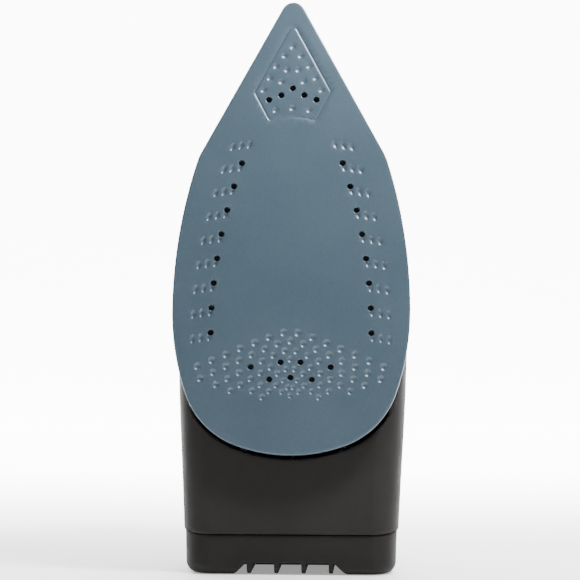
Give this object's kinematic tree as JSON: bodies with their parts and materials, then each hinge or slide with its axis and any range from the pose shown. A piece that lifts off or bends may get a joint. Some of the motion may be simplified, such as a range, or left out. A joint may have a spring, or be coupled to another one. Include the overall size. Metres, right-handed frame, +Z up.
{
  "type": "cordless steam iron",
  "caption": "Cordless steam iron standing on its heel: blue-grey perforated soleplate, water tank, loop handle, temperature dial, steam lever, spray and burst buttons.",
  "frame": {"origin": "on the floor that the heel stands on, under the middle of the iron", "axes": "+Z up towards the nose, -Y the way the soleplate faces, +Y towards the handle, +X across the iron"},
  "size_m": [0.1236, 0.1657, 0.2984],
  "materials": {
    "soleplate": "satin blue-grey ceramic coating",
    "casting": "die-cast aluminium",
    "steel": "zinc-plated steel",
    "rubber": "red silicone rubber",
    "skirt": "heat-resistant resin, fine matt",
    "ceramic": "white ceramic",
    "dial": "moulded plastic with a ribbed rim",
    "smoke_clear": "smoke-tinted clear polycarbonate",
    "trim": "satin blue-grey trim",
    "charcoal": "satin charcoal resin",
    "charcoal_cap": "satin charcoal resin",
    "black_plastic": "black resin",
    "brass": "plain brass",
    "board": "circuit board",
    "leads": "silicone-insulated wire",
    "handle": "satin charcoal resin",
    "soft_grip": "soft-touch elastomer, fine texture",
    "lens": "amber lens",
    "white_plastic": "natural acetal",
    "button": "blue-grey gloss buttons",
    "hose": "silicone hose"
  },
  "bodies": {
    "iron": {"soleplate": "soleplate", "heater_casting": "casting", "heating_element": "steel", "chamber_gasket": "rubber", "chamber_lid": "casting", "lid_screws": "steel", "heat_skirt": "skirt", "skirt_screws": "steel", "thermostat": "steel", "thermal_fuse": "ceramic", "tank_base": "smoke_clear", "tank_top": "smoke_clear", "valve_seat": "rubber", "rod_seal": "rubber", "filler_frame": "trim", "door_pin": "steel", "rear_housing": "charcoal", "heel_cap": "charcoal_cap", "heel_screws": "steel", "dock_socket": "black_plastic", "dock_contacts": "brass", "control_board": "board", "tilt_sensor": "black_plastic", "internal_leads": "leads", "handle_body": "handle", "handle_grip": "soft_grip", "control_bezel": "trim", "handle_screws": "steel", "indicator_lens": "lens", "indicator_lamp": "ceramic", "spray_pump": "white_plastic", "spray_spring": "steel", "spray_pickup": "hose", "burst_pump": "white_plastic", "burst_spring": "steel", "burst_pickup": "hose", "spray_hose": "hose", "burst_hose": "hose", "spray_nozzle": "black_plastic", "lever_carrier": "white_plastic"},
    "dial": {"temperature_dial": "dial", "thermostat_spindle": "steel"},
    "lever": {"steam_lever": "button"},
    "valve": {"valve_rod": "brass"},
    "spray": {"spray_button": "button", "spray_piston": "white_plastic"},
    "burst": {"burst_button": "button", "burst_piston": "white_plastic"},
    "door": {"filler_door": "smoke_clear"}
  },
  "joints": [
    {"name": "dial_turn", "type": "hinge", "parent": "iron", "child": "dial", "pos_m": [0, -0.00423, 0.08811], "axis": [0, 0.9903, -0.1392], "range_deg": [0, 270]},
    {"name": "lever_swing", "type": "hinge", "parent": "iron", "child": "lever", "pos_m": [0, 0.05612, 0.20283], "axis": [0, 0.9903, -0.1392], "range_deg": [0, 44]},
    {"name": "valve_lift", "type": "slide", "parent": "iron", "child": "valve", "axis": [0, 0.9903, -0.1392], "range_m": [0, 0.0015]},
    {"name": "spray_press", "type": "slide", "parent": "iron", "child": "spray", "axis": [0, -0.9903, 0.1392], "range_m": [0, 0.004], "stiffness_N_per_m": 700, "springref_m": -0.003, "deforming": ["spray_spring"]},
    {"name": "burst_press", "type": "slide", "parent": "iron", "child": "burst", "axis": [0, -0.9903, 0.1392], "range_m": [0, 0.004], "stiffness_N_per_m": 1000, "springref_m": -0.003, "deforming": ["burst_spring"]},
    {"name": "door_open", "type": "hinge", "parent": "iron", "child": "door", "pos_m": [0, 0.0085, 0.2583], "axis": [1, 0, 0], "range_deg": [0, 100]}
  ],
  "couplings": [
    {"joint": "lever_swing", "follows": "valve_lift", "rad_per_m": 511.9}
  ]
}
